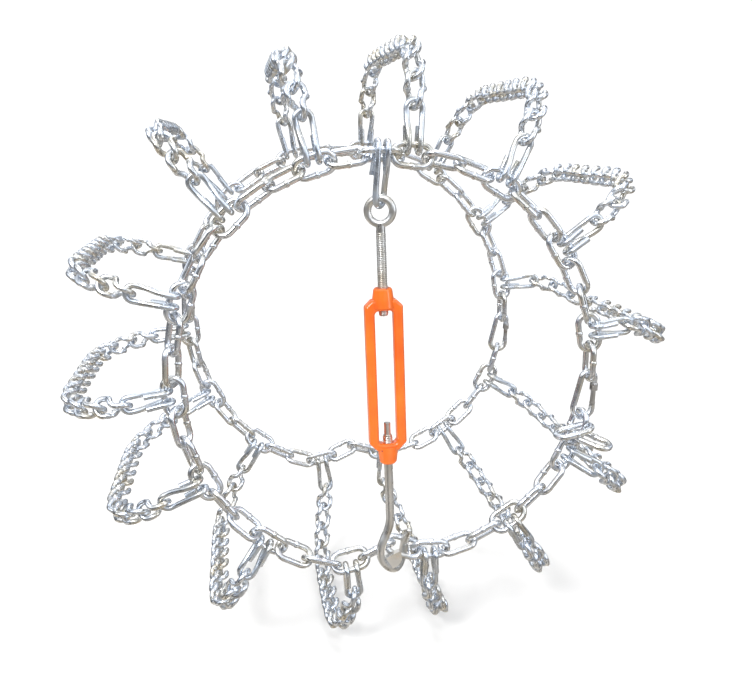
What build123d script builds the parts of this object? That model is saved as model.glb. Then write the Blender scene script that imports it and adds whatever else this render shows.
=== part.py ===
from build123d import *
import math
import os
from collections import namedtuple

# A ladder-type snow chain for an 18 x 8.50-8 garden-tractor tyre, in the shape it
# takes when it is fitted and drawn tight. Units are mm. The wheel axle is the Y axis,
# the origin is the wheel centre, the outer (tensioner) side faces -Y and +Z is up.
# Clockwise is as seen from the outer side, with +X to the right.

# ------------------------------------------------------------------- vector helpers


def plus(a, b, factor=1.0):
    return (a[0] + factor * b[0], a[1] + factor * b[1], a[2] + factor * b[2])


def minus(a, b):
    return plus(a, b, -1.0)


def times(a, factor):
    return (a[0] * factor, a[1] * factor, a[2] * factor)


def dot(a, b):
    return a[0] * b[0] + a[1] * b[1] + a[2] * b[2]


def cross(a, b):
    return (
        a[1] * b[2] - a[2] * b[1],
        a[2] * b[0] - a[0] * b[2],
        a[0] * b[1] - a[1] * b[0],
    )


def size(a):
    return math.sqrt(dot(a, a))


def unit(a):
    return times(a, 1.0 / size(a))


def square_to(a, axis):
    """Unit vector along the part of a that is square to the unit vector axis."""
    return unit(plus(a, axis, -dot(a, axis)))


def turned(a, b, degrees):
    """a turned toward b, which is square to it."""
    angle = math.radians(degrees)
    return plus(times(a, math.cos(angle)), b, math.sin(angle))


# --------------------------------------------------------------- shared shape helpers


def pipe(edges, diameter, start, direction):
    section = Plane(origin=start, z_dir=direction) * Circle(diameter / 2)
    return sweep(section, path=Wire(edges)).solid()


def place(shape, origin, x_dir, width):
    """Puts a shape drawn with X along x_dir and Y along width."""
    z_dir = unit(cross(x_dir, width))
    return shape.moved(Plane(origin=origin, x_dir=x_dir, z_dir=z_dir).location)


def save(name, solids):
    shape = solids[0] if len(solids) == 1 else Compound(children=list(solids))
    export_step(shape, "parts/%s.step" % name)


# ------------------------------------------------------------------ side chain layout
SIDE_WIRE = 4.5
SIDE_PITCH = 22.58         # distance between neighbouring link joints
SIDE_GAP = SIDE_WIRE + 0.7  # crown-to-crown centreline distance in a joint
SIDE_HALF_WIDTH = 7.25     # leg centreline from the link's middle
SIDE_PLANE = 104.0         # side chains lie at y = -104 and y = +104
OUTER, INNER = -1, 1       # sign of y on each side of the wheel

# Joints of the side chain in the wheel plane (x, z), clockwise from the snap link.
JOINTS = [
    (148.967, -36.172), (142.729, -57.873), (132.784, -78.145), (119.25, -96.22),
    (102.896, -111.79), (84.421, -124.771), (64.203, -134.826), (42.57, -141.297),
    (20.318, -139.843), (-0.673, -133.256), (-20.742, -142.27), (-42.601, -146.679),
    (-64.091, -139.745), (-83.951, -129.002), (-101.889, -115.287), (-117.717, -99.184),
    (-131.066, -80.972), (-141.499, -60.947), (-148.917, -39.62), (-153.479, -17.505),
    (-155.187, 5.01), (-154.051, 27.562), (-150.037, 49.782), (-142.821, 71.178),
    (-132.365, 91.191), (-119.002, 109.392), (-102.839, 125.16), (-84.284, 138.028),
    (-63.982, 147.912), (-42.409, 154.578), (-20.091, 158.011), (2.483, 158.531),
    (24.96, 156.383), (47.015, 151.539), (68.149, 143.59), (87.536, 132.013),
    (104.558, 117.177), (119.23, 100.014), (131.597, 81.121), (141.523, 60.84),
    (148.646, 39.413), (152.462, 17.158), (152.871, -5.419),
]
# The link that starts at each joint. A1 to A14 carry the cross chain hooks.
NAMES = (
    "L1 A5 m5 n5 A6 m6 n6 A7 b7 a7 A8 m8 n8 A9 m9 n9 A10 m10 n10 A11 m11 n11 A12 m12 "
    "n12 A13 m13 n13 A14 m14 n14 A1 m1 n1 A2 m2 n2 A3 m3 n3 A4 E PEAR"
).split()
CLOSING_LINK = "L1"        # the open link next to the snap link
# Roll of each link about the chain's line, degrees; 0 lies flat on the sidewall.
ROLLS = [
    72, -12, 72, -44, 28, -44, 72, -16, 52, -52, 36, -60, 52, -20, 52, -64, 12, -60, 56, -12,
    56, -60, 12, -60, 56, -16, 56, -60, 20, -52, 64, -8, 60, -56, 16, -64, 52, -16, 52, -64,
    8, -88, 0,
]
# Links saved together: an anchor pair, and one group for each cross chain.
ANCHOR = ["b7", "a7"]
SECTIONS = {
    1: ["A1", "m1", "n1"], 2: ["A2", "m2", "n2"], 3: ["A3", "m3", "n3"], 4: ["A4", "E"],
    5: ["L1", "A5"], 6: ["m5", "n5", "A6"], 7: ["m6", "n6", "A7"],
    8: ["A8", "m8", "n8"], 9: ["A9", "m9", "n9"], 10: ["A10", "m10", "n10"],
    11: ["A11", "m11", "n11"], 12: ["A12", "m12", "n12"], 13: ["A13", "m13", "n13"],
    14: ["A14", "m14", "n14"],
}
# Two spare links that hang on the closing link: centre, direction, width direction.
SPARE = {
    "slack_link_a": ((140.661, -110.902, -47.252), (-0.972, -0.001, -0.233), (-0.003, 1.000, 0.009)),
    "slack_link_b": ((153.068, -117.151, -53.254), (0.685, -0.698, -0.208), (-0.715, -0.699, -0.011)),
}

# heading runs clockwise along the chain, outward points away from the axle in the
# wheel plane, and face points away from the wheel's middle plane.
LinkFrame = namedtuple("LinkFrame", "centre heading width outward face")


def side_frame(name, side):
    i = NAMES.index(name)
    x0, z0 = JOINTS[i]
    x1, z1 = JOINTS[(i + 1) % len(JOINTS)]
    centre = ((x0 + x1) / 2, side * SIDE_PLANE, (z0 + z1) / 2)
    heading = unit((x1 - x0, 0.0, z1 - z0))
    outward = (-heading[2], 0.0, heading[0])
    face = (0.0, float(side), 0.0)
    return LinkFrame(centre, heading, turned(outward, face, ROLLS[i]), outward, face)


def bar_point(link, offset):
    """Point on the link's outer leg, offset from its middle along the chain."""
    return plus(plus(link.centre, link.width, SIDE_HALF_WIDTH), link.heading, offset)


# ------------------------------------------------------------------------- side links
BEAD_RADIUS = 2.72         # butt-weld bead
BEAD_HALF_LENGTH = 1.9
BEAD_SINK = 0.2            # depth of the bead's ends below the wire's surface
OPEN_HALF_ANGLE = 46.0     # half of the opening left in the closing link's crown


def side_link(open_half_angle=0.0):
    """X along the link, Y across it, bead on the -Y leg, any opening at the -X crown."""
    width = SIDE_HALF_WIDTH
    leg = (SIDE_PITCH + SIDE_GAP) / 2 - width
    low_end, high_end = (-leg, -width, 0), (-leg, width, 0)

    def crown_point(degrees, sign):
        angle = math.radians(degrees)
        return (-leg - width * math.cos(angle), sign * width * math.sin(angle), 0)

    edges = [
        Line(low_end, (leg, -width, 0)),
        ThreePointArc((leg, -width, 0), (leg + width, 0, 0), (leg, width, 0)),
        Line((leg, width, 0), high_end),
    ]
    if open_half_angle:
        middle = 45 + open_half_angle / 2
        start, finish = crown_point(open_half_angle, -1), crown_point(open_half_angle, 1)
        angle = math.radians(open_half_angle)
        direction = (math.sin(angle), -math.cos(angle), 0)
        edges.insert(0, ThreePointArc(start, crown_point(middle, -1), low_end))
        edges.append(ThreePointArc(high_end, crown_point(middle, 1), finish))
    else:
        start, direction = low_end, (1, 0, 0)
        edges.append(ThreePointArc(high_end, (-leg - width, 0, 0), low_end))
    body = pipe(edges, SIDE_WIRE, start, direction)

    half, end_y = BEAD_HALF_LENGTH, -width + SIDE_WIRE / 2 - BEAD_SINK
    outline = Wire(
        [
            Line((-half, -width, 0), (-half, end_y, 0)),
            ThreePointArc((-half, end_y, 0), (0, -width + BEAD_RADIUS, 0), (half, end_y, 0)),
            Line((half, end_y, 0), (half, -width, 0)),
            Line((half, -width, 0), (-half, -width, 0)),
        ]
    )
    bead = revolve(Face(outline), Axis((0, -width, 0), (1, 0, 0)), 360)
    return (body + bead).solid()


def save_side_links():
    plain, closing = side_link(), side_link(OPEN_HALF_ANGLE)
    groups = {"side_links_%02d" % rung: names for rung, names in SECTIONS.items()}
    groups["side_links_anchor"] = ANCHOR
    for group, names in groups.items():
        made = []
        for side in (OUTER, INNER):
            for name in names:
                link = side_frame(name, side)
                shape = closing if name == CLOSING_LINK else plain
                made.append(place(shape, link.centre, link.heading, link.width))
        save(group, made)
    for name, (centre, direction, width) in SPARE.items():
        direction = unit(direction)
        save(name, [place(plain, centre, direction, square_to(width, direction))])


# ------------------------------------------------------------------------ prong hooks
HOOK_WIRE = 4.1
TIP_SPREAD = 1.02          # the tips' distance from the bar plane, over the eye radius


def prong_hook(side, eye, prong, crown, length, tip, flare, roll=0.0):
    """Double-prong hook: X across the prongs, Y from the bar to the crown. The legs lie
    on the +Z side of the bar for side +1 and on the -Z side for -1.

    eye: bend radius round the bar; prong: half the prong spacing; crown: crown radius;
    length: bar centre to crown; tip: how far each tip comes back past the bar;
    flare: how far each tip turns outward; roll: degrees the crown turns about Y."""
    crown_x = crown * math.cos(math.radians(roll))
    crown_z = crown * math.sin(math.radians(roll))
    leg_z = eye * side
    crown_y = length - crown
    first_tip = (prong + flare, tip, -leg_z * TIP_SPREAD)
    last_tip = (-prong - flare, tip, -leg_z * TIP_SPREAD)
    first_crown, last_crown = (crown_x, crown_y, crown_z), (-crown_x, crown_y, -crown_z)
    up, down = (0, 1, 0), (0, -1, 0)
    tip_in, tip_out = (-flare / tip, -1, 0), (-flare / tip, 1, 0)
    edges = [
        Spline(first_tip, (prong, 0, -leg_z), tangents=[tip_in, down]),
        ThreePointArc((prong, 0, -leg_z), (prong, -eye, 0), (prong, 0, leg_z)),
        Spline((prong, 0, leg_z), first_crown, tangents=[up, up]),
        ThreePointArc(first_crown, (0, length, 0), last_crown),
        Spline(last_crown, (-prong, 0, leg_z), tangents=[down, down]),
        ThreePointArc((-prong, 0, leg_z), (-prong, -eye, 0), (-prong, 0, -leg_z)),
        Spline((-prong, 0, -leg_z), last_tip, tangents=[up, tip_out]),
    ]
    return pipe(edges, HOOK_WIRE, first_tip, tip_in)


# ------------------------------------------------------------------ cross chain hooks
HOOK_LENGTH = 29.3         # bar centre to crown centreline
HOOK_SHAPE = dict(eye=5.3, prong=4.0, crown=5.5, length=HOOK_LENGTH, tip=12.5, flare=0.5)
AIM_RADIUS = 215.0         # each hook leans toward its rung's tread angle at this radius
MAX_LEAN = 5.0             # degrees

# Where each cross chain crosses the tread, degrees clockwise from the top.
TREAD_ANGLE = {
    1: 4.2, 2: 28.6, 3: 53.6, 4: 86.6, 5: 119.2, 6: 143.1, 7: 166.8, 8: 189.4,
    9: 214.8, 10: 242.7, 11: 265.6, 12: 290.2, 13: 317.9, 14: 342.6,
}
# +1: the hook's legs pass on the bar's face side, away from the tyre, and its tips come
# back on the other side.
HOOK_SIDE = {
    1: 1, 2: 1, 3: -1, 4: -1, 5: -1, 6: -1, 7: -1, 8: -1, 9: -1, 10: 1, 11: -1, 12: 1,
    13: 1, 14: 1,
}
# Slack between each hook's crown and the first link, beyond the usual joint gap.
HOOK_SLACK = {4: 0.25, 7: 0.25, 13: 0.25}
# How far a hook sits off the middle of its bar.
HOOK_SHIFT = {7: -0.5, 8: 0.4}
# How far a hook tips inward toward the tread, degrees.
HOOK_TILT = {4: 11.0, 6: 12.0, 7: 5.0, 8: 17.0, 10: 4.0}


def hook_frame(rung, side):
    """Bar point, direction across the prongs and direction from the bar to the crown."""
    link = side_frame("A%d" % rung, side)
    bar = bar_point(link, HOOK_SHIFT.get(rung, 0.0))
    angle = math.radians(TREAD_ANGLE[rung])
    target = (AIM_RADIUS * math.sin(angle), bar[1], AIM_RADIUS * math.cos(angle))
    aim = unit(minus(target, bar))
    lean = math.degrees(math.asin(max(-1.0, min(1.0, dot(aim, link.heading)))))
    lean = max(-MAX_LEAN, min(MAX_LEAN, lean))
    inward = times(link.face, -1.0)
    along = turned(turned(link.outward, link.heading, lean), inward, HOOK_TILT.get(rung, 0.0))
    across = turned(link.heading, times(link.outward, -1.0), lean)
    return bar, across, along


def save_cross_hooks():
    hooks = {side: prong_hook(side, **HOOK_SHAPE) for side in (-1, 1)}
    for rung in SECTIONS:
        pair = []
        for side in (OUTER, INNER):
            bar, across, along = hook_frame(rung, side)
            # the hook's own Z may point along the face direction or against it
            facing = 1 if cross(across, along)[1] * side > 0 else -1
            pair.append(place(hooks[HOOK_SIDE[rung] * facing], bar, across, along))
        save("cross_hooks_%02d" % rung, pair)


# ----------------------------------------------------------------------- cross chains
CROSS_WIRE = 4.1
CROSS_PITCH = 19.6
CROSS_GAP = 5.4            # crown-to-crown centreline distance in a joint
CROSS_HALF_WIDTH = 6.1
CROSS_TWIST = 90.0         # degrees from one crown to the other
CROSS_LINKS = 13
TREAD_RADIUS = 234.4       # centreline of the cross chains over the tread
CURVE_STEPS = 600
BISECTIONS = 40
MIN_CORNER = 4.0           # smallest corner radius of a square profile
ARC_TURNS = (25.0, 90.0)   # least and most turn of a round profile, degrees

# Roll of each link, from the outer hook to the inner one, degrees.
CROSS_ROLLS = {
    1: [-20, -4, -4, 4, 4, -4, 0, 4, 0, -4, 0, 8, 24],
    2: [-24, -4, 4, 0, -4, 0, 4, -4, -4, 4, 4, 4, 24],
    3: [-24, -4, 0, -4, 4, 4, -4, -4, 4, 4, -4, 4, 24],
    4: [-28, -4, -4, 4, 4, -4, 0, 4, 0, -4, 0, 16, 28],
    5: [-28, -4, 4, 0, -4, 0, 4, -4, -4, 4, 4, 12, 28],
    6: [-28, -4, 0, -4, 4, 4, -4, -4, 4, 4, -4, 4, 28],
    7: [-28, -8, -4, 4, 4, -4, 0, 4, 0, -4, 0, 8, 36],
    8: [-36, -12, 4, 0, -4, 0, 4, -4, -4, 4, 4, 4, 28],
    9: [-24, -8, 0, -4, 4, 4, -4, -4, 4, 4, -4, 4, 28],
    10: [-28, -4, -4, 4, 4, -4, 0, 4, 0, -4, 0, 4, 24],
    11: [-24, -8, 4, 0, -4, 0, 4, -4, -4, 4, 4, 4, 28],
    12: [-24, -8, 0, -4, 4, 4, -4, -4, 4, 4, -4, 4, 24],
    13: [-16, -4, 4, 4, 4, -4, 0, 4, 0, -4, 4, 12, 16],
    14: [-28, -8, 4, 0, -4, 0, 4, -4, -4, 4, 4, 8, 24],
}


def round_profile(share, depth, height, turn_degrees):
    """One arc that meets a straight tread, as (distance from mid-plane, height) at a
    share of the way from the hook to the middle of the tread."""
    turn = math.radians(turn_degrees)
    radius = height / (1 - math.cos(turn))
    bend, flat = radius * turn, depth - radius * math.sin(turn)
    run = share * (bend + flat)
    if run < bend:
        angle = turn - run / radius
        return flat + radius * math.sin(angle), height - radius * (1 - math.cos(angle))
    return max(0.0, flat - (run - bend)), height


def square_profile(share, depth, height, radius):
    """The same for a straight sidewall, a right-angled arc and a straight tread."""
    wall, bend, flat = height - radius, radius * math.pi / 2, depth - radius
    run = share * (wall + bend + flat)
    if run < wall:
        return depth, run
    if run < wall + bend:
        angle = (run - wall) / radius
        return depth - radius * (1 - math.cos(angle)), wall + radius * math.sin(angle)
    return max(0.0, flat - (run - wall - bend)), height


def tread_curve(start, tread_angle, fullness):
    """Points from start to the middle of the tread. A fullness above 0 is the turn of a
    round profile in degrees, one below 0 is minus the corner radius of a square one."""
    start_radius, start_angle = math.hypot(start[0], start[2]), math.atan2(start[0], start[2])
    swing = (tread_angle - start_angle + math.pi) % (2 * math.pi) - math.pi
    height = TREAD_RADIUS - start_radius
    profile = round_profile if fullness > 0 else square_profile
    points = []
    for i in range(CURVE_STEPS + 1):
        depth, rise = profile(i / CURVE_STEPS, -start[1], height, abs(fullness))
        radius, q = start_radius + rise, rise / height
        angle = start_angle + swing * q * q * (3 - 2 * q)
        points.append((radius * math.sin(angle), -depth, radius * math.cos(angle)))
    return points


def walk(curve, count):
    """Joints one pitch apart along the curve; past its end they go on along Y."""
    joints, i, here = [curve[0]], 0, curve[0]
    for _ in range(count):
        while i + 1 < len(curve) and size(minus(curve[i + 1], here)) < CROSS_PITCH:
            i += 1
        if i + 1 >= len(curve):
            end = curve[-1]
            here = (end[0], end[1] + CROSS_PITCH - size(minus(end, here)), end[2])
        else:
            low, high = 0.0, 1.0
            for _ in range(BISECTIONS):
                middle = (low + high) / 2
                trial = plus(times(curve[i], 1 - middle), curve[i + 1], middle)
                if size(minus(trial, here)) < CROSS_PITCH:
                    low = middle
                else:
                    high = middle
            here = plus(times(curve[i], 1 - low), curve[i + 1], low)
        joints.append(here)
    return joints


def cross_path(rung):
    """Joint points of one cross chain, outer hook to inner hook."""
    bar, _, along = hook_frame(rung, OUTER)
    start = plus(bar, along, HOOK_LENGTH - CROSS_GAP / 2 - HOOK_SLACK.get(rung, 0.0))
    tread_angle = math.radians(TREAD_ANGLE[rung])

    def half_path(fullness):
        return walk(tread_curve(start, tread_angle, fullness), CROSS_LINKS // 2)

    def falls_short(fullness):
        return half_path(fullness)[-1][1] < -CROSS_PITCH / 2

    # find the curve on which the links reach the middle of the tread exactly
    low, high = math.hypot(start[0], start[2]) - TREAD_RADIUS, -MIN_CORNER
    if falls_short(low):
        low, high = ARC_TURNS
    for _ in range(BISECTIONS):
        middle = (low + high) / 2
        if falls_short(middle):
            high = middle
        else:
            low = middle
    joints = half_path((low + high) / 2)
    return joints + [(x, -y, z) for x, y, z in reversed(joints)]


def cross_frames(rung):
    """Centre, direction and width direction of each link of one cross chain."""
    joints = cross_path(rung)
    frames = []
    for start, end, roll in zip(joints, joints[1:], CROSS_ROLLS[rung]):
        direction = unit(minus(end, start))
        centre = times(plus(start, end), 0.5)
        angle = math.atan2(centre[0], centre[2])
        lateral = square_to((math.cos(angle), 0.0, -math.sin(angle)), direction)
        frames.append((centre, direction, turned(lateral, cross(direction, lateral), roll)))
    return frames


def twisted_link():
    """X along the link; the crowns turn opposite ways about X by half the twist."""
    end = (CROSS_PITCH + CROSS_GAP) / 2
    width = CROSS_HALF_WIDTH
    leg = end - width
    y = width * math.cos(math.radians(CROSS_TWIST / 2))
    z = width * math.sin(math.radians(CROSS_TWIST / 2))
    right_up, right_down = (leg, y, z), (leg, -y, -z)
    left_up, left_down = (-leg, y, -z), (-leg, -y, z)
    forward, back = (1, 0, 0), (-1, 0, 0)
    upper = [
        Spline(left_up, (0, width, 0), right_up, tangents=[forward, forward]),
        ThreePointArc(right_up, (end, 0, 0), right_down),
    ]
    lower = [
        Spline(right_down, (0, -width, 0), left_down, tangents=[back, back]),
        ThreePointArc(left_down, (-end, 0, 0), left_up),
    ]
    made = pipe(upper, CROSS_WIRE, left_up, forward) + pipe(lower, CROSS_WIRE, right_down, back)
    return made.solid()


def save_cross_links():
    link = twisted_link()
    for rung in SECTIONS:
        save("cross_links_%02d" % rung, [place(link, *frame) for frame in cross_frames(rung)])


# ------------------------------------------------------------------------- snap link
# Pear-shaped: X from the narrow crown to the wide one, Y toward the gate side.
PEAR_CHORD = 31.0          # joint to joint through the snap link
NARROW_RADIUS = 5.3
WIDE_RADIUS = 7.6
PEAR_WIRE = 4.5
NOSE_STUB = 2.2            # straight wire past the wide crown, where the gate closes
PIVOT_X, PIVOT_Y = -8.6, 5.75
TONGUE_RADIUS, TONGUE_THICK = 2.25, 1.8
WEB_WIDTH, WEB_OVERLAP = 4.3, 0.6
GATE_BORE = 2.1

GATE_WIRE = 3.8
GATE_CLEARANCE = 0.45      # between the gate's tip and the nose
GATE_PIN, PIN_LENGTH = 2.0, 5.4
FORK_SIZE = 4.6
SLOT_LENGTH, SLOT_DEPTH, SLOT_WIDTH, SLOT_SHIFT = 5.6, 8, 2.0, 0.2
RELIEF_RADIUS = 2.6
GATE_ROD_START = 4.2
GATE_TIP_RADIUS, GATE_TIP_LENGTH = 2.2, 2.0

PEAR_HALF = (PEAR_CHORD + SIDE_GAP) / 2
NARROW_X = -PEAR_HALF + NARROW_RADIUS
WIDE_X = PEAR_HALF - WIDE_RADIUS
SLOPE = math.asin((WIDE_RADIUS - NARROW_RADIUS) / (WIDE_X - NARROW_X))
SLOPE_SIN, SLOPE_COS = math.sin(SLOPE), math.cos(SLOPE)
# where the straight leg on the gate side meets each crown
NARROW_END = (NARROW_X - NARROW_RADIUS * SLOPE_SIN, NARROW_RADIUS * SLOPE_COS, 0)
WIDE_END = (WIDE_X - WIDE_RADIUS * SLOPE_SIN, WIDE_RADIUS * SLOPE_COS, 0)
NOSE_START = (WIDE_END[0] - NOSE_STUB * SLOPE_COS, WIDE_END[1] - NOSE_STUB * SLOPE_SIN, 0)
SLOPE_TURN = Rot(0, 0, math.degrees(SLOPE))


def snap_link():
    narrow_low = (NARROW_END[0], -NARROW_END[1], 0)
    wide_low = (WIDE_END[0], -WIDE_END[1], 0)
    edges = [
        Line(NOSE_START, WIDE_END),
        ThreePointArc(WIDE_END, (PEAR_HALF, 0, 0), wide_low),
        Line(wide_low, narrow_low),
        ThreePointArc(narrow_low, (-PEAR_HALF, 0, 0), NARROW_END),
    ]
    body = pipe(edges, PEAR_WIRE, NOSE_START, (SLOPE_COS, SLOPE_SIN, 0))
    pivot = Pos(PIVOT_X, PIVOT_Y, 0)
    tongue = pivot * Cylinder(TONGUE_RADIUS, TONGUE_THICK)
    web_centre = Pos((NARROW_END[0] + PIVOT_X) / 2, (NARROW_END[1] + PIVOT_Y) / 2, 0)
    web = web_centre * SLOPE_TURN * Box(
        PIVOT_X - NARROW_END[0] + WEB_OVERLAP, WEB_WIDTH, TONGUE_THICK
    )
    hole = pivot * Cylinder(GATE_BORE / 2, 6)
    return (body + tongue + web - hole).solid()


def snap_gate():
    """Same frame as the snap link; pivots about Z."""
    length = (NOSE_START[0] - PIVOT_X) / SLOPE_COS - GATE_CLEARANCE
    along_x = Rot(0, 90, 0)
    fork = Cylinder(FORK_SIZE / 2, FORK_SIZE) + Pos(FORK_SIZE / 2, 0, 0) * Box(
        FORK_SIZE, FORK_SIZE, FORK_SIZE
    )
    slot = Box(SLOT_LENGTH, SLOT_DEPTH, SLOT_WIDTH)
    relief = Cylinder(RELIEF_RADIUS, SLOT_WIDTH)
    rod = Pos((length + GATE_ROD_START) / 2, 0, 0) * along_x * Cylinder(
        GATE_WIRE / 2, length - GATE_ROD_START
    )
    tip = Pos(length - GATE_TIP_LENGTH / 2, 0, 0) * along_x * Cylinder(
        GATE_TIP_RADIUS, GATE_TIP_LENGTH
    )
    pin = Cylinder(GATE_PIN / 2, PIN_LENGTH)
    gate = fork - Pos(SLOT_SHIFT, 0, 0) * slot - relief + rod + tip + pin
    return (Pos(PIVOT_X, PIVOT_Y, 0) * SLOPE_TURN * gate).solid()


def save_snap_links():
    link, gate = snap_link(), snap_gate()
    for side, side_name in ((OUTER, "outer"), (INNER, "inner")):
        frame = side_frame("PEAR", side)
        spot = (frame.centre, frame.heading, frame.width)
        save("%s_snap_link" % side_name, [place(link, *spot)])
        save("%s_snap_gate" % side_name, [place(gate, *spot)])


# -------------------------------------------------------------------------- tensioner
# The body and the eye bolt are drawn along Z, then moved onto the tensioner's axis.
# Heights such as BODY_TOP are distances along that axis from AXIS_ORIGIN.
AXIS_ORIGIN = (-6.0, -113.85, 0.0)
AXIS_UP = unit((-0.0321, 0.0206, 1.0))
AXIS_DOWN = times(AXIS_UP, -1.0)
ROD = 6.4                  # diameter of both bolts

BODY_BORE = 6.5
BODY_TOP, BODY_BOTTOM = 68.4, -60.8
WINDOW_TOP, WINDOW_BOTTOM = 52.4, -45.6
BODY_WIDTH, WINDOW_WIDTH, BODY_THICK = 27.2, 13.3, 10.0
TOP_HALF_WIDTH, FOOT_HALF_WIDTH = 8.6, 7.6   # flat ends of the frame
CORNER_FILLET, WINDOW_FILLET, EDGE_FILLET = 2.4, 3.0, 2.5
HUB_SHOULDER = 5.6         # length of each hub's first taper
HUB_LIP, HUB_BEVEL = 1.2, 0.9   # length and depth of the bevel at its end

EYE_CENTRE, EYE_RADIUS, EYE_WIRE, EYE_ROLL = 121.2, 8.7, 5.3, -18.0
EYE_BOLT_END = 48.5
EYE_BOLT_CHAMFER = 0.7

HOOK_BOLT_END = -30.4      # top of the pilot
PILOT, PILOT_START = 4.8, -39.6   # turned-down end of the hook bolt
PILOT_OVERLAP = 0.5
BEND_START = -104.0        # where the straight rod runs into the hook
# Centreline of the hook after the straight rod (x, y, z), and its final direction.
HOOK_PATH = [
    (-8.50, -117.49, -124.55), (-9.83, -118.05, -134.50), (-4.93, -117.79, -143.94),
    (3.39, -112.00, -149.11), (9.06, -103.31, -145.50), (10.64, -102.56, -138.67),
    (10.88, -108.03, -127.49),
]
NOSE_DIRECTION = unit((0.1, -0.55, 0.8))
NOSE_TIP, NOSE_LENGTH = 2.1, 11.5   # taper at the hook's open end
FOOT_CENTRE = (-3.0, -117.6, -137.0)   # forged plate on the hook's bend
FOOT_RADIUS, FOOT_THICK = 8.8, 4.4
FOOT_TURN, FOOT_DROP = -24, 7   # tilt and lowering of the box that trims the plate
FOOT_BOX = (24, 10, 18)

CONNECTOR_SHIFT = 0.4      # off the middle of its bar, along the chain
CONNECTOR_CLEARANCE = 0.9  # between the hook's crown and the eye
CONNECTOR_SHAPE = dict(eye=5.8, prong=3.4, crown=5.6, tip=17.0, flare=1.6, roll=50.0)


def axis_point(distance):
    return plus(AXIS_ORIGIN, AXIS_UP, distance)


def hub(start, end, start_radius, shoulder_radius, end_radius):
    """Turned boss from the frame outward, up or down the Z axis."""
    way = 1 if end > start else -1
    points = [
        (0, start),
        (start_radius, start),
        (shoulder_radius, start + HUB_SHOULDER * way),
        (end_radius, end - HUB_LIP * way),
        (end_radius - HUB_BEVEL, end),
        (0, end),
    ]
    face = Plane.XZ * make_face(Polyline(points + [points[0]]))
    return revolve(face, Axis.Z, 360)


def tensioner_body():
    half, top, bottom = BODY_WIDTH / 2, WINDOW_TOP, WINDOW_BOTTOM
    outline = make_face(
        Polyline(
            [
                (half, bottom + 0.5), (half, top + 3.4),
                (TOP_HALF_WIDTH, top + 8.2), (-TOP_HALF_WIDTH, top + 8.2),
                (-half, top + 3.4), (-half, bottom + 0.5),
                (-FOOT_HALF_WIDTH, bottom - 5.6), (FOOT_HALF_WIDTH, bottom - 5.6),
                (half, bottom + 0.5),
            ]
        )
    )
    outline = fillet(outline.vertices(), CORNER_FILLET)
    window = Pos(0, (top + bottom) / 2) * RectangleRounded(
        WINDOW_WIDTH, top - bottom, WINDOW_FILLET
    )
    frame = extrude(Plane.XZ * (outline - window), BODY_THICK / 2, both=True)
    # every edge of the two flat faces
    rims = frame.edges().filter_by(lambda e: abs(abs(e.center().Y) - BODY_THICK / 2) < 1e-4)
    frame = fillet(rims, EDGE_FILLET)
    upper_hub = hub(top + 2.4, BODY_TOP, 8.3, 7.7, 6.7)
    lower_hub = hub(bottom - 2.0, BODY_BOTTOM, 7.9, 7.2, 6.3)
    body = frame + upper_hub + lower_hub
    bore = Pos(0, 0, (BODY_TOP + BODY_BOTTOM) / 2) * Cylinder(
        BODY_BORE / 2, BODY_TOP - BODY_BOTTOM + 4
    )
    return (body - bore).solid()


def eye_bolt():
    turn = Rot(0, 0, EYE_ROLL) * Rot(90, 0, 0)
    ring = Pos(0, 0, EYE_CENTRE) * turn * Torus(EYE_RADIUS, EYE_WIRE / 2)
    top = EYE_CENTRE - EYE_RADIUS
    shank = Pos(0, 0, (EYE_BOLT_END + top) / 2) * Cylinder(ROD / 2, top - EYE_BOLT_END)
    shank = chamfer(shank.edges().sort_by(Axis.Z)[0], EYE_BOLT_CHAMFER)
    return (ring + shank).solid()


def hook_bolt():
    """Drawn in place, in the wheel's frame."""
    start, bend = axis_point(PILOT_START), axis_point(BEND_START)
    edges = [
        Line(start, bend),
        Spline(bend, *HOOK_PATH, tangents=[AXIS_DOWN, NOSE_DIRECTION]),
    ]
    rod = pipe(edges, ROD, start, AXIS_DOWN)
    # turned-down pilot on the threaded end, inside the window
    pilot_length = HOOK_BOLT_END - PILOT_START + PILOT_OVERLAP
    pilot = Plane(origin=axis_point(PILOT_START - PILOT_OVERLAP), z_dir=AXIS_UP) * Pos(
        0, 0, pilot_length / 2
    ) * Cylinder(PILOT / 2, pilot_length)
    # the hook runs out in a tapered, rounded nose
    nose = Plane(origin=HOOK_PATH[-1], z_dir=NOSE_DIRECTION) * (
        Pos(0, 0, NOSE_LENGTH / 2) * Cone(ROD / 2, NOSE_TIP, NOSE_LENGTH)
        + Pos(0, 0, NOSE_LENGTH) * Sphere(NOSE_TIP)
    )
    foot = Pos(*FOOT_CENTRE)
    plate = foot * Rot(90, 0, 0) * Cylinder(FOOT_RADIUS, FOOT_THICK)
    keep = foot * Rot(0, FOOT_TURN, 0) * Pos(0, 0, -FOOT_DROP) * Box(*FOOT_BOX)
    return (rod + pilot + nose + (plate & keep)).solid()


def connector_hook():
    """Joins the outer side chain to the top of the eye bolt's ring."""
    bar = bar_point(side_frame("n14", OUTER), CONNECTOR_SHIFT)
    reach = minus(axis_point(EYE_CENTRE + EYE_RADIUS), bar)
    along = unit(reach)
    length = size(reach) + (EYE_WIRE + HOOK_WIRE) / 2 + CONNECTOR_CLEARANCE
    hook = prong_hook(-1, length=length, **CONNECTOR_SHAPE)
    return place(hook, bar, square_to((1.0, 0.0, 0.0), along), along)


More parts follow.
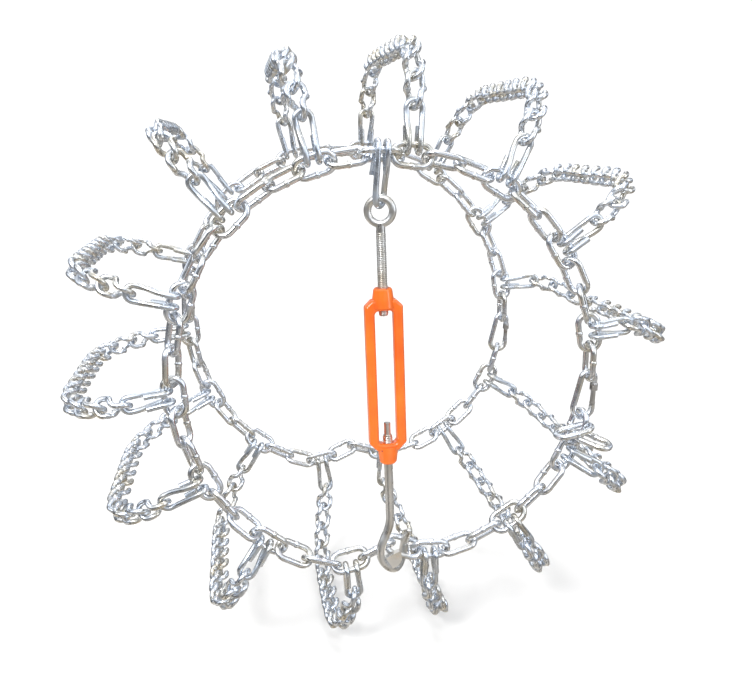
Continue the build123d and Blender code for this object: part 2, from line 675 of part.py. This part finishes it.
def save_tensioner():
    x_dir = square_to((1.0, 0.0, 0.0), AXIS_UP)
    spot = Plane(origin=AXIS_ORIGIN, x_dir=x_dir, z_dir=AXIS_UP).location
    save("turnbuckle_body", [tensioner_body().moved(spot)])
    save("eye_bolt", [eye_bolt().moved(spot)])
    save("hook_bolt", [hook_bolt()])
    save("connector_hook", [connector_hook()])


os.makedirs("parts", exist_ok=True)
save_side_links()
save_cross_links()
save_cross_hooks()
save_snap_links()
save_tensioner()
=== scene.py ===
# A ladder chain with a turnbuckle tensioner, standing upright on a pale sweep.
# The side chains lie at y = -104 mm (outer, towards the camera) and +104 mm (inner),
# with twisted cross chains between them. The tensioner stands nearly along Z beyond the
# outer chain. Measures named in the MM sections are millimetres, all others are metres.
import bpy
import bmesh
import math
import random

import numpy as np
from mathutils import Matrix, Vector


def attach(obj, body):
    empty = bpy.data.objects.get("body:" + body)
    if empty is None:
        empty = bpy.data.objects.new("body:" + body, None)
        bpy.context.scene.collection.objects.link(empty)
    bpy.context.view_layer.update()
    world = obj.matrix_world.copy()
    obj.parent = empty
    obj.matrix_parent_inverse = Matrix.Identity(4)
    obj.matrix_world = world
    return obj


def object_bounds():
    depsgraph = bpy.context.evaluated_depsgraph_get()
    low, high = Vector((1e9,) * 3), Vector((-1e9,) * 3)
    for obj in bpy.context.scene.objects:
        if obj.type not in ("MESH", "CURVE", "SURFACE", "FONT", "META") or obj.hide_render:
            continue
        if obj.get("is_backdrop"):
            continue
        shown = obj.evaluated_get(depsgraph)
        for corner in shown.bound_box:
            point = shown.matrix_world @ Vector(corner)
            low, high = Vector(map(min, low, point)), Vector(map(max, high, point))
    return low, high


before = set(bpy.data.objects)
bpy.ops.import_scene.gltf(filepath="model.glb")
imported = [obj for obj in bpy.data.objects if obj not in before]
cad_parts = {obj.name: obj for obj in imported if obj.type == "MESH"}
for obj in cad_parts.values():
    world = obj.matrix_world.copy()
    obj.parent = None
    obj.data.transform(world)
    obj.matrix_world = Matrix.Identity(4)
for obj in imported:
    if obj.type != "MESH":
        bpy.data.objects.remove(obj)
bounds_at_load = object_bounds()
random.seed(7)

MM = 0.001

# The tensioner's line, in millimetres: a point on it, its direction and two across it
AXIS_ORIGIN = Vector((-6.0, -113.85, 0.0))
AXIS_UP = Vector((-0.0321, 0.0206, 1.0)).normalized()
AXIS_X = (Vector((1.0, 0.0, 0.0)) - AXIS_UP * AXIS_UP.x).normalized()
AXIS_Y = AXIS_UP.cross(AXIS_X)

# Side chains, in millimetres; the points are given in the plane y = 0
SIDE_Y = 104.0
SIDES = (("outer", -1), ("inner", 1))
SNAP_TOP = Vector((152.871, 0.0, -5.419))
SNAP_BOTTOM = Vector((148.967, 0.0, -36.172))
END_LINK_TOP = SNAP_BOTTOM
END_LINK_BOTTOM = Vector((142.729, 0.0, -57.873))


# ---------------------------------------------------------------------- shader helpers
def new_material(name):
    """A node material, with its tree and its main shader."""
    material = bpy.data.materials.new(name)
    material.use_nodes = True
    tree = material.node_tree
    return material, tree, tree.nodes["Principled BSDF"]


def ramp(tree, factor, stops):
    """Colour ramp; each stop is (position, (red, green, blue))."""
    node = tree.nodes.new("ShaderNodeValToRGB")
    elements = node.color_ramp.elements
    for element, (position, rgb) in ((elements[0], stops[0]), (elements[1], stops[-1])):
        element.position = position
        element.color = (*rgb, 1.0)
    for position, rgb in stops[1:-1]:
        elements.new(position).color = (*rgb, 1.0)
    tree.links.new(factor, node.inputs["Fac"])
    return node.outputs["Color"]


def noise(tree, coords, scale, detail=2.0, roughness=0.5):
    node = tree.nodes.new("ShaderNodeTexNoise")
    node.inputs["Scale"].default_value = scale
    node.inputs["Detail"].default_value = detail
    node.inputs["Roughness"].default_value = roughness
    tree.links.new(coords, node.inputs["Vector"])
    return node.outputs["Fac"]


def map_range(tree, value, from_min, from_max, to_min=0.0, to_max=1.0):
    node = tree.nodes.new("ShaderNodeMapRange")
    node.inputs["From Min"].default_value = from_min
    node.inputs["From Max"].default_value = from_max
    node.inputs["To Min"].default_value = to_min
    node.inputs["To Max"].default_value = to_max
    tree.links.new(value, node.inputs["Value"])
    return node.outputs["Result"]


def multiply(tree, color_a, color_b):
    node = tree.nodes.new("ShaderNodeMix")
    node.data_type = "RGBA"
    node.blend_type = "MULTIPLY"
    node.inputs["Factor"].default_value = 1.0
    tree.links.new(color_a, node.inputs["A"])
    tree.links.new(color_b, node.inputs["B"])
    return node.outputs["Result"]


def add_bump(tree, bsdf, height, strength, distance):
    node = tree.nodes.new("ShaderNodeBump")
    node.inputs["Strength"].default_value = strength
    node.inputs["Distance"].default_value = distance
    tree.links.new(height, node.inputs["Height"])
    tree.links.new(node.outputs["Normal"], bsdf.inputs["Normal"])


def mix_shaders(tree, factor, at_zero, at_one):
    node = tree.nodes.new("ShaderNodeMixShader")
    for socket, source in enumerate((factor, at_zero, at_one)):
        tree.links.new(source, node.inputs[socket])
    return node.outputs["Shader"]


# --------------------------------------------------------------------------- materials
def zinc(name, base, warm, rough, bump=0.10, patch_scale=45.0):
    """Zinc plate: metal in base colour with warm patches, uneven shine and fine pits."""
    material, tree, bsdf = new_material(name)
    coords = tree.nodes.new("ShaderNodeTexCoord").outputs["Object"]
    bright = tuple(min(1.0, channel * 1.05) for channel in base)
    patches = noise(tree, coords, scale=patch_scale, detail=3.0, roughness=0.6)
    tint = ramp(tree, patches, [(0.36, warm), (0.52, base), (0.72, bright)])
    tree.links.new(tint, bsdf.inputs["Base Color"])

    wear = noise(tree, coords, scale=160.0, detail=5.0)
    shine = map_range(tree, wear, from_min=0.3, from_max=0.7, to_min=rough[0], to_max=rough[1])
    tree.links.new(shine, bsdf.inputs["Roughness"])

    pits = noise(tree, coords, scale=170.0, detail=4.0)
    add_bump(tree, bsdf, pits, strength=bump, distance=0.0004)
    bsdf.inputs["Metallic"].default_value = 1.0
    return material


def enamel():
    """Orange enamel with sparse dark pits, orange peel and a clear coat."""
    material, tree, bsdf = new_material("orange_enamel")
    coords = tree.nodes.new("ShaderNodeTexCoord").outputs["Object"]
    oranges = [
        (0.30, (0.80, 0.120, 0.004)),
        (0.55, (0.93, 0.175, 0.006)),
        (0.80, (0.97, 0.225, 0.012)),
    ]
    pit_color, clean = (0.30, 0.05, 0.02), (1.0, 1.0, 1.0)
    pit_stops = [(0.0, pit_color), (0.235, pit_color), (0.26, clean), (1.0, clean)]
    orange = ramp(tree, noise(tree, coords, scale=45.0, detail=4.0), oranges)
    pits = ramp(tree, noise(tree, coords, scale=230.0), pit_stops)
    tree.links.new(multiply(tree, orange, pits), bsdf.inputs["Base Color"])

    peel = noise(tree, coords, scale=260.0)
    add_bump(tree, bsdf, peel, strength=0.22, distance=0.0006)
    bsdf.inputs["Roughness"].default_value = 0.30
    bsdf.inputs["Coat Weight"].default_value = 0.6
    bsdf.inputs["Coat Roughness"].default_value = 0.12
    return material


def pale_floor():
    """Matt pale surface that is clear when seen from behind."""
    material, tree, bsdf = new_material("pale_floor")
    bsdf.inputs["Base Color"].default_value = (0.90, 0.90, 0.90, 1.0)
    bsdf.inputs["Roughness"].default_value = 0.9
    bsdf.inputs["Specular IOR Level"].default_value = 0.1
    behind = tree.nodes.new("ShaderNodeNewGeometry").outputs["Backfacing"]
    clear = tree.nodes.new("ShaderNodeBsdfTransparent").outputs["BSDF"]
    shader = mix_shaders(tree, behind, bsdf.outputs["BSDF"], clear)
    tree.links.new(shader, tree.nodes["Material Output"].inputs["Surface"])
    return material


ZINC_SIDE = zinc(
    "zinc_side_chain", base=(0.80, 0.83, 0.88), warm=(0.74, 0.72, 0.66), rough=(0.16, 0.34)
)
ZINC_CROSS = zinc(
    "zinc_cross_chain", base=(0.77, 0.81, 0.87), warm=(0.73, 0.69, 0.60), rough=(0.16, 0.36)
)
ZINC_HOOK = zinc(
    "zinc_hook", base=(0.72, 0.77, 0.84), warm=(0.68, 0.66, 0.60), rough=(0.18, 0.38)
)
ZINC_ROD = zinc(
    "zinc_rod", base=(0.80, 0.80, 0.79), warm=(0.68, 0.64, 0.57), rough=(0.22, 0.40),
    bump=0.12, patch_scale=40.0,
)
ZINC_WELD = zinc(
    "zinc_weld", base=(0.72, 0.74, 0.76), warm=(0.50, 0.48, 0.45), rough=(0.34, 0.60),
    bump=0.6, patch_scale=160.0,
)
ZINC_GATE = zinc(
    "zinc_gate", base=(0.64, 0.65, 0.67), warm=(0.52, 0.50, 0.46), rough=(0.24, 0.42)
)
ENAMEL = enamel()


def finish_of(name):
    """The material of a CAD piece; the first match counts."""
    if name.startswith(("side_links", "slack")) or "snap_link" in name:
        return ZINC_SIDE
    if name.startswith("cross_links"):
        return ZINC_CROSS
    if name.startswith("cross_hooks") or name == "connector_hook":
        return ZINC_HOOK
    if "gate" in name:
        return ZINC_GATE
    if name == "turnbuckle_body":
        return ENAMEL
    return ZINC_ROD


for name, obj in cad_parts.items():
    obj.data.materials.clear()
    obj.data.materials.append(finish_of(name))


# ------------------------------------------------------------------------ mesh helpers
def mesh_object(name, verts, faces, material, solid=True):
    """A smooth object; a solid one has its normals turned outwards."""
    mesh = bpy.data.meshes.new(name)
    mesh.from_pydata([tuple(v) for v in verts], [], faces)
    mesh.update()
    if solid:
        bm = bmesh.new()
        bm.from_mesh(mesh)
        bmesh.ops.recalc_face_normals(bm, faces=bm.faces)
        bm.to_mesh(mesh)
        bm.free()
    for polygon in mesh.polygons:
        polygon.use_smooth = True
    mesh.materials.append(material)
    obj = bpy.data.objects.new(name, mesh)
    bpy.context.scene.collection.objects.link(obj)
    return obj


def circle(centre, x, y, radius, steps):
    angles = [2 * math.pi * k / steps for k in range(steps)]
    return [centre + (x * math.cos(a) + y * math.sin(a)) * radius for a in angles]


def wall_faces(rings, steps, base=0):
    """Quads joining consecutive closed rings of vertices, the first starting at base."""
    faces = []
    for i in range(rings - 1):
        for k in range(steps):
            a = base + i * steps + k
            b = base + i * steps + (k + 1) % steps
            faces.append((a, b, b + steps, a + steps))
    return faces


def capped_faces(rings, steps, base=0):
    last = base + (rings - 1) * steps
    start_cap = tuple(reversed(range(base, base + steps)))
    return wall_faces(rings, steps, base) + [start_cap, tuple(range(last, last + steps))]


def lathe(name, profile, origin, axis, material, steps):
    """Turns (distance along axis, radius) pairs about a line."""
    x = axis.orthogonal().normalized()
    y = axis.cross(x)
    verts = []
    for distance, radius in profile:
        verts += circle(origin + axis * distance, x, y, radius, steps)
    return mesh_object(name, verts, capped_faces(len(profile), steps), material)


def tube(name, path, radius, material, steps=20):
    """A round wire along a list of points, with flat ends."""
    verts = []
    across = (path[1] - path[0]).orthogonal().normalized()
    for i, point in enumerate(path):
        along = (path[min(i + 1, len(path) - 1)] - path[max(i - 1, 0)]).normalized()
        across = (across - along * across.dot(along)).normalized()
        verts += circle(point, across, along.cross(across), radius, steps)
    return mesh_object(name, verts, capped_faces(len(path), steps), material)


# ------------------------------------------------------------------------ bolt threads
# All in millimetres
THREAD_PITCH = 1.27
THREAD_ROOT = 3.0
THREAD_CREST = 3.62
RIDGE_HALF_FOOT = 0.56
RIDGE_HALF_CREST = 0.11
RUN_OUT_HEIGHT = 0.06  # ridge left standing at the very ends


def thread_point(height, radius, angle):
    point = AXIS_ORIGIN + AXIS_UP * height
    return (point + (AXIS_X * math.cos(angle) + AXIS_Y * math.sin(angle)) * radius) * MM


def thread(name, start, end):
    """A helical ridge with a flat crest that runs out at both ends."""
    steps = 26  # per turn
    run_out = 0.8 * steps
    count = int((end - start) / THREAD_PITCH * steps)
    low = THREAD_ROOT + RUN_OUT_HEIGHT
    verts = []
    for i in range(count + 1):
        turns = i / steps
        fade = min(1.0, i / run_out, (count - i) / run_out)
        crest = low + (THREAD_CREST - low) * fade
        section = (
            (-RIDGE_HALF_FOOT, THREAD_ROOT),
            (-RIDGE_HALF_CREST, crest),
            (RIDGE_HALF_CREST, crest),
            (RIDGE_HALF_FOOT, THREAD_ROOT),
        )
        for rise, radius in section:
            height = start + turns * THREAD_PITCH + rise
            verts.append(thread_point(height, radius, 2 * math.pi * turns))
    last = 4 * count
    faces = wall_faces(count + 1, 4)
    faces += [(0, 1, 2, 3), (last + 3, last + 2, last + 1, last)]
    return mesh_object(name, verts, faces, ZINC_ROD)


# The threads lie on the bolts where they leave the turnbuckle body
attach(thread("eye_bolt_thread", 49.4, 107.0), "eye_bolt")
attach(thread("hook_bolt_thread", -56.0, -40.2), "hook_bolt")


# ---------------------------------------------------------------- cross chain weld beads
WELD_WIRE_RADIUS = 0.00205
WELD_LENGTH = 0.0030
WELD_HEIGHT = 0.00042
WELD_SINK = 0.00012  # how far the bead's ends lie below the wire surface
LEG_SLICE = 0.0016  # half thickness of the slice that finds the legs
LEG_REACH = 0.0045  # how far each way along the leg its slant is read


def islands(obj):
    """Vertex coordinates of each separate solid in a CAD mesh, in world space."""
    mesh = obj.data
    coords = np.empty(len(mesh.vertices) * 3)
    mesh.vertices.foreach_get("co", coords)
    world_matrix = np.array(obj.matrix_world)
    coords = coords.reshape(-1, 3) @ world_matrix[:3, :3].T + world_matrix[:3, 3]
    # weld split vertices by position, then flood the lowest label over edges
    _, welded = np.unique(np.round(coords * 1e6).astype(np.int64), axis=0, return_inverse=True)
    welded = welded.ravel()
    label = np.arange(int(welded.max()) + 1)
    edges = np.empty(len(mesh.edges) * 2, dtype=np.int64)
    mesh.edges.foreach_get("vertices", edges)
    a, b = welded[edges[0::2]], welded[edges[1::2]]
    while True:
        lowest = np.minimum(label[a], label[b])
        new_label = label.copy()
        np.minimum.at(new_label, label[a], lowest)
        np.minimum.at(new_label, label[b], lowest)
        for _ in range(4):
            new_label = new_label[new_label]
        if np.array_equal(new_label, label):
            break
        label = new_label
    root = label[welded]
    return [coords[root == r] for r in np.unique(root)]


def box_middle(points):
    return (points.max(0) + points.min(0)) / 2


def main_direction(offsets):
    _, _, directions = np.linalg.svd(offsets, full_matrices=False)
    return directions[0]


def link_axes(points):
    """Centre, long axis and the two leg middles of one link."""
    centre = points.mean(0)
    along = main_direction(points - centre)
    reach = (points - centre) @ along
    centre = centre + along * (reach.max() + reach.min()) / 2
    reach = (points - centre) @ along
    # widen the slice until it holds enough vertices
    for half in (LEG_SLICE, 2 * LEG_SLICE, 3 * LEG_SLICE):
        middle = points[np.abs(reach) < half]
        if len(middle) >= 16:
            break
    flat = middle - np.outer((middle - centre) @ along, along)
    offsets = flat - flat.mean(0)
    side = (offsets @ main_direction(offsets)) > 0
    return centre, along, box_middle(flat[side]), box_middle(flat[~side])


def leg_direction(points, centre, along, leg, other_leg):
    """Direction of a leg at its middle, so that a bead follows its slant there."""
    across = leg - other_leg
    across = across / np.linalg.norm(across)
    normal = np.cross(along, across)
    near = np.abs((points - leg) @ along) < LEG_REACH
    own_side = ((points - centre) @ across) > 0.0005
    wire = points[near & own_side]
    reach = (wire - leg) @ along
    ahead, behind = wire[reach > 0.001], wire[reach < -0.001]
    if len(ahead) <= 4 or len(behind) <= 4:
        return along
    run = box_middle(ahead) - box_middle(behind)
    sign = 1 if run @ along > 0 else -1
    slanted = along * abs(run @ along) + normal * (run @ normal) * sign
    return slanted / np.linalg.norm(slanted)


def weld_bead(verts, faces, centre, axis, seed):
    """Adds a lumpy ring of weld metal round a link's wire."""
    rng = random.Random(seed)
    x = Vector(axis).normalized()
    y = x.orthogonal().normalized()
    z = x.cross(y)
    rings, steps = 7, 14
    phase = [rng.uniform(0, 6.28) for _ in range(4)]
    faces += capped_faces(rings, steps, base=len(verts))
    for i in range(rings):
        t = -1 + 2 * i / (rings - 1)  # -1 to 1 along the bead
        for k in range(steps):
            a = 2 * math.pi * k / steps
            # two broad and five small lumps round the wire, and wavy edges
            broad = 0.25 * math.sin(2 * a + phase[0] + 1.3 * t)
            small = 0.16 * math.sin(5 * a + phase[1] - 2 * t)
            swell = WELD_HEIGHT * (0.75 + broad + small) * (1 - t * t) ** 0.6
            radius = WELD_WIRE_RADIUS - WELD_SINK + swell
            shift = WELD_LENGTH * 0.5 * t * (1 + 0.12 * math.sin(3 * a + phase[2]))
            spoke = y * math.cos(a) + z * math.sin(a)
            verts.append(Vector(centre) + x * shift + spoke * radius)


# One bead on one leg of every cross link, changing legs from link to link
for rung in range(1, 15):
    verts, faces = [], []
    for k, points in enumerate(islands(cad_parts["cross_links_%02d" % rung])):
        centre, along, leg, other_leg = link_axes(points)
        if (k + rung) % 2 == 0:
            leg, other_leg = other_leg, leg
        direction = leg_direction(points, centre, along, leg, other_leg)
        weld_bead(verts, faces, leg, direction, seed=31 * rung + k)
    beads = mesh_object("cross_weld_beads_%02d" % rung, verts, faces, ZINC_WELD)
    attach(beads, "cross_chain_%02d" % rung)


# ------------------------------------------------------------- side chain small pieces
# All in millimetres
CROWN_BEND = 7.25
CROWN_STRAIGHT = 13.89 - CROWN_BEND  # link centre to bend centre
CROWN_WIRE_RADIUS = 2.25
CROWN_SWEEP = 93.0  # degrees of bend
CROWN_STEPS = 24
LINK_ROLL = math.radians(72.0)
RIVET_ALONG = -8.6  # from the snap link's centre, towards its top
RIVET_OUT = 5.75
# (distance from the gate's middle, radius)
RIVET_PROFILE = [
    (2.20, 1.45), (2.45, 1.62), (2.80, 1.55), (3.05, 1.25), (3.20, 0.75), (3.24, 0.15),
]


def outward(along):
    """Direction across a downward run of chain, away from the Y axis."""
    return Vector((-along.z, 0.0, along.x))


def closing_crown(tag, side):
    """The bend that closes the opened end link next to the snap link."""
    along = (END_LINK_BOTTOM - END_LINK_TOP).normalized()
    face = Vector((0.0, side, 0.0))
    width = outward(along) * math.cos(LINK_ROLL) + face * math.sin(LINK_ROLL)
    centre = (END_LINK_TOP + END_LINK_BOTTOM) / 2 + Vector((0.0, SIDE_Y * side, 0.0))
    path = []
    for k in range(CROWN_STEPS + 1):
        a = math.radians(-CROWN_SWEEP / 2 + CROWN_SWEEP * k / CROWN_STEPS)
        offset = along * (-CROWN_STRAIGHT - CROWN_BEND * math.cos(a))
        path.append((centre + offset + width * (CROWN_BEND * math.sin(a))) * MM)
    crown = tube("%s_closing_crown" % tag, path, CROWN_WIRE_RADIUS * MM, ZINC_SIDE)
    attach(crown, "rung_05")


def gate_rivets(tag, side):
    """Riveted pin ends on a snap link's gate, front towards -Y."""
    along = (SNAP_BOTTOM - SNAP_TOP).normalized()
    middle = (SNAP_TOP + SNAP_BOTTOM) / 2 + Vector((0.0, SIDE_Y * side, 0.0))
    centre = middle + along * RIVET_ALONG + outward(along) * RIVET_OUT
    profile = [(distance * MM, radius * MM) for distance, radius in RIVET_PROFILE]
    for end, way in (("front", -1), ("back", 1)):
        name = "%s_gate_rivet_%s" % (tag, end)
        axis = Vector((0.0, way, 0.0))
        rivet = lathe(name, profile, centre * MM, axis, ZINC_GATE, steps=28)
        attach(rivet, "%s_gate" % tag)


for tag, side in SIDES:
    closing_crown(tag, side)
for tag, side in SIDES:
    gate_rivets(tag, side)

# ------------------------------------------------------------------------------- stage
FLOOR = -0.2436
SWEEP_FRONT = -6.0
SWEEP_HALF_WIDTH = 6.0
SWEEP_TOP = 5.0
BEND_START = 0.42
BEND_RADIUS = 0.30
BEND_STEPS = 12


def pale_sweep():
    """Floor that bends up into a wall behind the chain."""
    profile = [(SWEEP_FRONT, FLOOR)]  # (y, z)
    for k in range(BEND_STEPS + 1):
        a = math.radians(90.0 * k / BEND_STEPS)
        y = BEND_START + BEND_RADIUS * math.sin(a)
        profile.append((y, FLOOR + BEND_RADIUS * (1 - math.cos(a))))
    profile.append((BEND_START + BEND_RADIUS, SWEEP_TOP))
    verts = [(x, y, z) for y, z in profile for x in (-SWEEP_HALF_WIDTH, SWEEP_HALF_WIDTH)]
    faces = [(2 * i, 2 * i + 1, 2 * i + 3, 2 * i + 2) for i in range(len(profile) - 1)]
    # the winding stays as built, since the material is clear from behind
    sweep = mesh_object("pale_sweep", verts, faces, pale_floor(), solid=False)
    sweep.visible_glossy = False
    sweep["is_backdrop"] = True


def background(tree, strength, color=None):
    """World background; color is a socket, or None for white."""
    node = tree.nodes.new("ShaderNodeBackground")
    node.inputs["Strength"].default_value = strength
    if color is None:
        node.inputs["Color"].default_value = (1.0, 1.0, 1.0, 1.0)
    else:
        tree.links.new(color, node.inputs["Color"])
    return node.outputs["Background"]


def studio_world():
    """White for the camera, even light for matt surfaces, patchy sky in reflections."""
    world = bpy.data.worlds.new("studio")
    bpy.context.scene.world = world
    world.use_nodes = True
    tree = world.node_tree
    tree.nodes.clear()
    output = tree.nodes.new("ShaderNodeOutputWorld")
    rays = tree.nodes.new("ShaderNodeLightPath").outputs
    coords = tree.nodes.new("ShaderNodeTexCoord").outputs["Generated"]
    split = tree.nodes.new("ShaderNodeSeparateXYZ")
    tree.links.new(coords, split.inputs["Vector"])
    height = map_range(tree, split.outputs["Z"], from_min=-1.0, from_max=1.0)
    # from straight down to straight up
    sky_stops = [
        (0.0, (0.50, 0.46, 0.40)),
        (0.28, (0.44, 0.41, 0.37)),
        (0.42, (0.20, 0.20, 0.20)),
        (0.53, (0.12, 0.13, 0.15)),
        (0.60, (0.44, 0.48, 0.54)),
        (0.74, (0.92, 0.96, 1.0)),
        (1.0, (1.0, 1.0, 1.0)),
    ]
    # dark and bright patches that break up the reflections
    card_stops = [
        (0.0, (0.12, 0.12, 0.13)),
        (0.42, (0.30, 0.30, 0.31)),
        (0.52, (1.2, 1.2, 1.2)),
        (1.0, (2.0, 2.0, 2.0)),
    ]
    sky = ramp(tree, height, sky_stops)
    cards = ramp(tree, noise(tree, coords, scale=2.6, detail=0.0), card_stops)
    reflected = background(tree, strength=1.3, color=multiply(tree, sky, cards))
    even = background(tree, strength=0.66)
    lighting = mix_shaders(tree, rays["Is Glossy Ray"], even, reflected)
    seen = background(tree, strength=0.97)
    shader = mix_shaders(tree, rays["Is Camera Ray"], lighting, seen)
    tree.links.new(shader, output.inputs["Surface"])


def area_light(name, place, size, power, color=(1.0, 1.0, 1.0)):
    """Rectangular light aimed at the world origin."""
    light = bpy.data.lights.new(name, "AREA")
    light.shape = "RECTANGLE"
    light.size, light.size_y = size
    light.energy = power
    light.color = color
    obj = bpy.data.objects.new(name, light)
    obj.location = place
    obj.rotation_euler = (-Vector(place)).to_track_quat("-Z", "Y").to_euler()
    bpy.context.scene.collection.objects.link(obj)


def add_camera():
    data = bpy.data.cameras.new("camera")
    camera = bpy.data.objects.new("camera", data)
    bpy.context.scene.collection.objects.link(camera)
    data.sensor_width = 36.0
    data.lens = 38.44
    data.clip_start = 0.01
    right = Vector((0.98560, -0.16909, 0.00028))
    up = Vector((0.04277, 0.25088, 0.96707))
    forward = Vector((0.16359, 0.95314, -0.25450))
    pose = Matrix((right, up, -forward)).transposed().to_4x4()
    pose.translation = Vector((-0.10585, -0.65447, 0.16851))
    camera.matrix_world = pose
    bpy.context.scene.camera = camera


pale_sweep()
studio_world()
area_light(
    "key_softbox", place=(-1.3, -1.7, 1.6), size=(0.7, 0.6), power=40.0, color=(1.0, 0.99, 0.97)
)
area_light(
    "fill_softbox", place=(1.7, -1.3, 0.5), size=(0.5, 1.3), power=7.0, color=(0.93, 0.96, 1.0)
)
area_light("rim_strip", place=(0.2, 0.4, 1.7), size=(1.2, 0.25), power=9.0)
add_camera()

view = bpy.context.scene.view_settings
view.view_transform = "Standard"
view.look = "None"
view.exposure = 0.0
view.gamma = 1.0

bounds_at_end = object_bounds()


def plain_list(v):
    if isinstance(v, dict):
        return {str(k): plain_list(x) for k, x in v.items()}
    if isinstance(v, (int, float)):
        return float(v)
    return [plain_list(x) for x in v]


{"at_load": plain_list(bounds_at_load), "before_finish": plain_list(bounds_at_end)}
